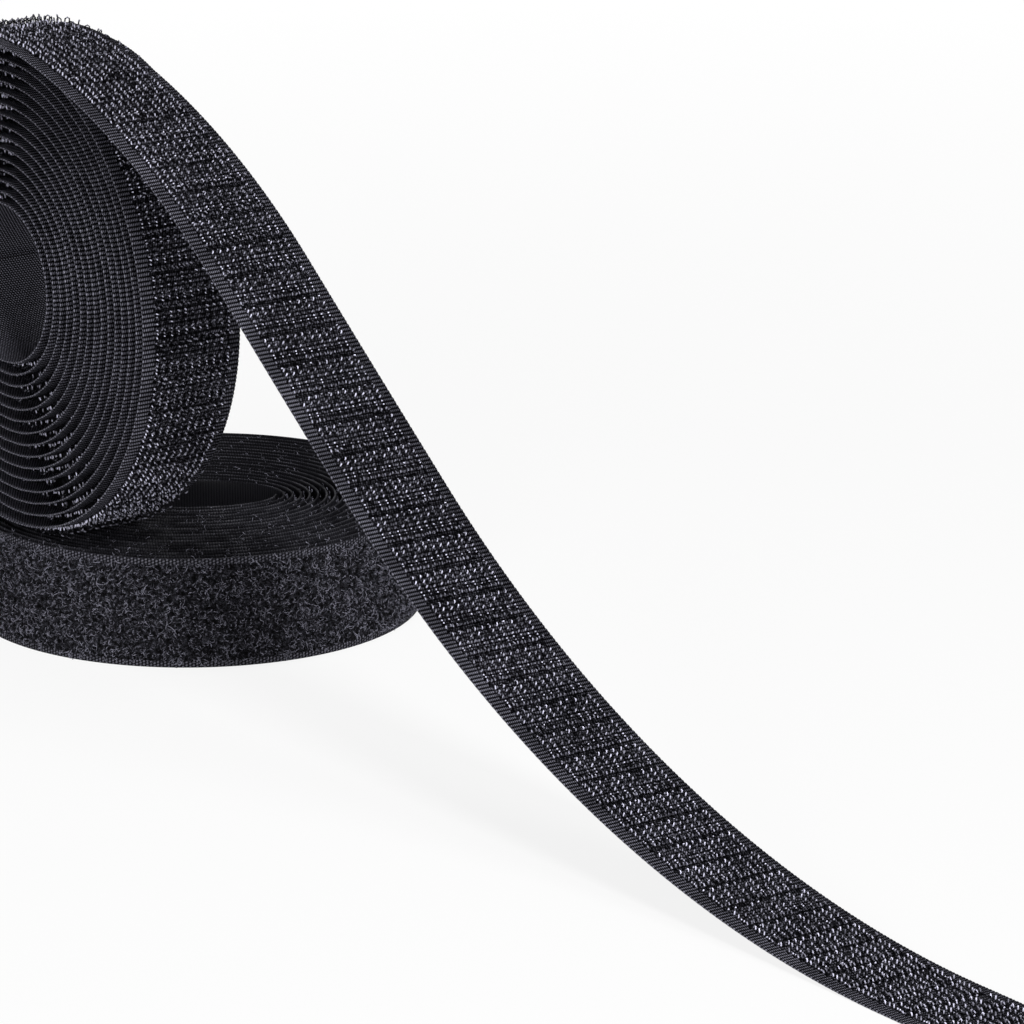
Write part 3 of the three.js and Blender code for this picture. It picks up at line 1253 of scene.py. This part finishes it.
        # The outer turn's outer face takes the lighter ground; those of the turns under it keep the darker
        # one, which is painted shade.
        ground.slots[(ground.slots == 2) & (length > outer)] = 3
        wound = np.arange(1.0, outer + 2.0, self.step)
        filled = run.room(wound) - self.ground - self.bed_gap
        bare = np.arange(outer, run.end - 0.4, self.close_step)
        low = np.full(len(bare), self.pile * self.bed_share)
        inner_bed = self.pile_bed(run, wound, columns=10, top=filled, lumps=0.0)
        outer_bed = self.pile_bed(run, bare, columns=29, top=low, lumps=self.lumps)
        pieces = [
            ground.to_object("loop_roll_ground", LOOP_GROUND),
            inner_bed.to_object("loop_roll_inner_pile", [PILE_BED]),
            outer_bed.to_object("loop_roll_outer_pile", [PILE_BED]),
        ]
        back, front = outer - 5, run.end - 1
        pile = FibreBand(back, front, low=1.3, high=23.8, seed=31)
        fringe = FibreBand(1.0, outer, low=22.6, high=24.7, seed=41, reach=0.2, finish=FRINGE_THREAD)
        strays = FibreBand(back, front, 1.5, 24.0, seed=51, total=160, reach=0.6, stretch=3.0, points=18)
        for name, band in (
            ("pile_1", pile),
            ("pile_2", replace(pile, seed=32)),
            ("pile_3", replace(pile, seed=33)),
            ("fringe", fringe),
            ("strays", strays),
        ):
            pieces.append(self.fibres(run, band).to_object(f"loop_roll_{name}", [band.finish]))
        return pieces


# Surroundings


@dataclass
class Studio:
    """The surface, the soft light and the camera.

    Args:
        eye: The camera's place, in metres.
        facing: The way that it looks.
        focal_pixels: Its focal length in pixels of the square picture.
        pixels: Pixels along the picture's side.
        sensor: Width of its sensor.
        middle: What the lamps face, in metres.
        fill: How much of the white surround lights the object.
        reach: How far the surface goes to each side, in metres.
        fade: Where the surface begins and ends to go over into white, in metres from the middle.
        least_white: Its share of white before that.
    """

    eye: tuple[float, float, float] = (1.0384, -0.7679, 0.4368)
    facing: tuple[float, float, float] = (-0.77395, 0.56554, -0.28491)
    focal_pixels: float = 6460.4
    pixels: int = 1024
    sensor: float = 36.0
    middle: tuple[float, float, float] = (-0.05, 0.0, 0.06)
    fill: float = 0.14
    reach: float = 6.0
    fade: tuple[float, float] = (0.25, 0.75)
    least_white: float = 0.86

    def stand(self, name: str, data: bpy.types.ID, place: tuple, towards: Vector) -> bpy.types.Object:
        """Add a camera or a lamp that looks one way.

        Args:
            name: Its name.
            data: The camera or lamp.
            place: Where it stands, in metres.
            towards: The way that it looks.

        Returns:
            The new object.
        """
        thing = bpy.data.objects.new(name, data)
        turn = towards.to_track_quat("-Z", "Y").to_matrix().to_4x4()
        thing.matrix_world = Matrix.Translation(place) @ turn
        bpy.context.scene.collection.objects.link(thing)
        return thing

    def camera(self) -> None:
        """Place the camera: it looks along facing, level; its lens is focal pixels / pixels x sensor."""
        lens = bpy.data.cameras.new("camera")
        lens.sensor_width = self.sensor
        lens.lens = self.focal_pixels / self.pixels * self.sensor
        lens.clip_start, lens.clip_end = 0.05, 20.0
        bpy.context.scene.camera = self.stand("camera", lens, self.eye, Vector(self.facing))

    def lamp(self, name: str, place: tuple[float, float, float], size: float, watts: float) -> None:
        """Add a square soft light that faces the middle of the object.

        Args:
            name: The lamp's name.
            place: Where it stands, in metres.
            size: Its side.
            watts: Its power.
        """
        data = bpy.data.lights.new(name, "AREA")
        data.shape, data.size, data.energy = "SQUARE", size, watts
        self.stand(name, data, place, Vector(self.middle) - Vector(place))

    def seen(self, g: Graph) -> Socket:
        """Tell what the camera, a reflection or glass sees from light that falls on the object.

        Args:
            g: The graph to add to.

        Returns:
            1 for the first, 0 for the second.
        """
        path = g.add("ShaderNodeLightPath").outputs
        both = g.math("MAXIMUM", path["Is Camera Ray"], path["Is Glossy Ray"])
        return g.math("MAXIMUM", both, path["Is Transmission Ray"])

    def world(self) -> None:
        """A white surround to the eye, and a plainer light to the object."""
        world = bpy.data.worlds.new("studio")
        bpy.context.scene.world = world
        g = Graph.fresh(world)
        strength = g.plus(self.fill, g.times(self.seen(g), 1.0 - self.fill))
        back = g.add("ShaderNodeBackground", {0: (1.0, 1.0, 1.0, 1.0), 1: strength})
        g.add("ShaderNodeOutputWorld", {0: back.outputs[0]})

    def floor(self) -> None:
        """A wide pale surface that keeps the object's shadow and goes over into the white surround."""
        mesh = bpy.data.meshes.new("floor")
        corners = [(x * self.reach, y * self.reach, 0) for x, y in ((-1, -1), (1, -1), (1, 1), (-1, 1))]
        mesh.from_pydata(corners, [], [(0, 1, 2, 3)])
        floor = bpy.data.objects.new("floor", mesh)
        bpy.context.scene.collection.objects.link(floor)
        paint = bpy.data.materials.new("pale_surface")
        g = Graph.fresh(paint)
        matt = g.add("ShaderNodeBsdfDiffuse", {0: (0.95, 0.95, 0.95, 1.0)})
        white = g.add("ShaderNodeEmission", {0: (1.0, 1.0, 1.0, 1.0), 1: 1.0})
        place = g.add("ShaderNodeTexCoord").outputs["Object"]
        away = g.add("ShaderNodeVectorMath", {0: place}, operation="LENGTH").outputs["Value"]
        share = g.times(self.seen(g), g.remap(away, *self.fade, self.least_white, 1.0))
        mixed = g.add("ShaderNodeMixShader", {0: share, 1: matt.outputs[0], 2: white.outputs[0]})
        g.add("ShaderNodeOutputMaterial", {0: mixed.outputs[0]})
        mesh.materials.append(paint)

    def build(self) -> None:
        """Place everything that isn't the object."""
        self.camera()
        self.world()
        self.floor()
        self.lamp("key", (1.35, -0.35, 1.35), size=0.4, watts=23.0)
        self.lamp("front", (0.95, -1.45, 0.4), size=0.5, watts=12.5)
        self.lamp("top", (0.0, 0.3, 1.85), size=0.7, watts=7.0)
        bpy.context.scene.view_settings.view_transform = "Standard"


def fasten(
    pieces: list[Piece],
    body: str,
    node: str,
) -> None:
    """Make a tape's pieces ride with its body and stand for its solid, which is hidden.

    Args:
        pieces: The ground first, then what is on it.
        body: The body that they move with.
        node: The solid that the ground stands for.
    """
    for piece in pieces:
        if "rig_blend" not in piece:
            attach(piece, body)
    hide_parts(node)


def main() -> None:
    """Build the surroundings, the loop roll, the hook roll and its free end, in that order."""
    logging.basicConfig(level=logging.INFO, format="%(message)s")
    Studio().build()
    loop_roll = LoopRoll()
    pieces = loop_roll.build()
    flat = (loop_roll.width * METRES, loop_roll.run().end * METRES)
    fasten(pieces, "loop_roll", "loop_tape_winding")
    tape = HookTape()
    width = tape.width * METRES
    hook_roll = HookRoll(tape)
    wound = hook_roll.run().end
    pieces = hook_roll.build()
    flat = (width, wound * METRES)
    fasten(pieces, "hook_roll", "hook_tape_winding")
    free_end = FreeEnd(tape)
    pieces = free_end.build(wound)
    crest = Vector(free_end.crest) * METRES
    blended = crest + Vector((free_end.blend * METRES, 0.0, 0.0))
    for piece in pieces:
        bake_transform(piece, "hook_roll", "free_end", start=crest, end=blended)
    flat = (width, (free_end.run(wound).end - wound) * METRES)
    fasten(pieces, "free_end", "hook_tape_free_end")


if __name__ == "__main__":
    main()
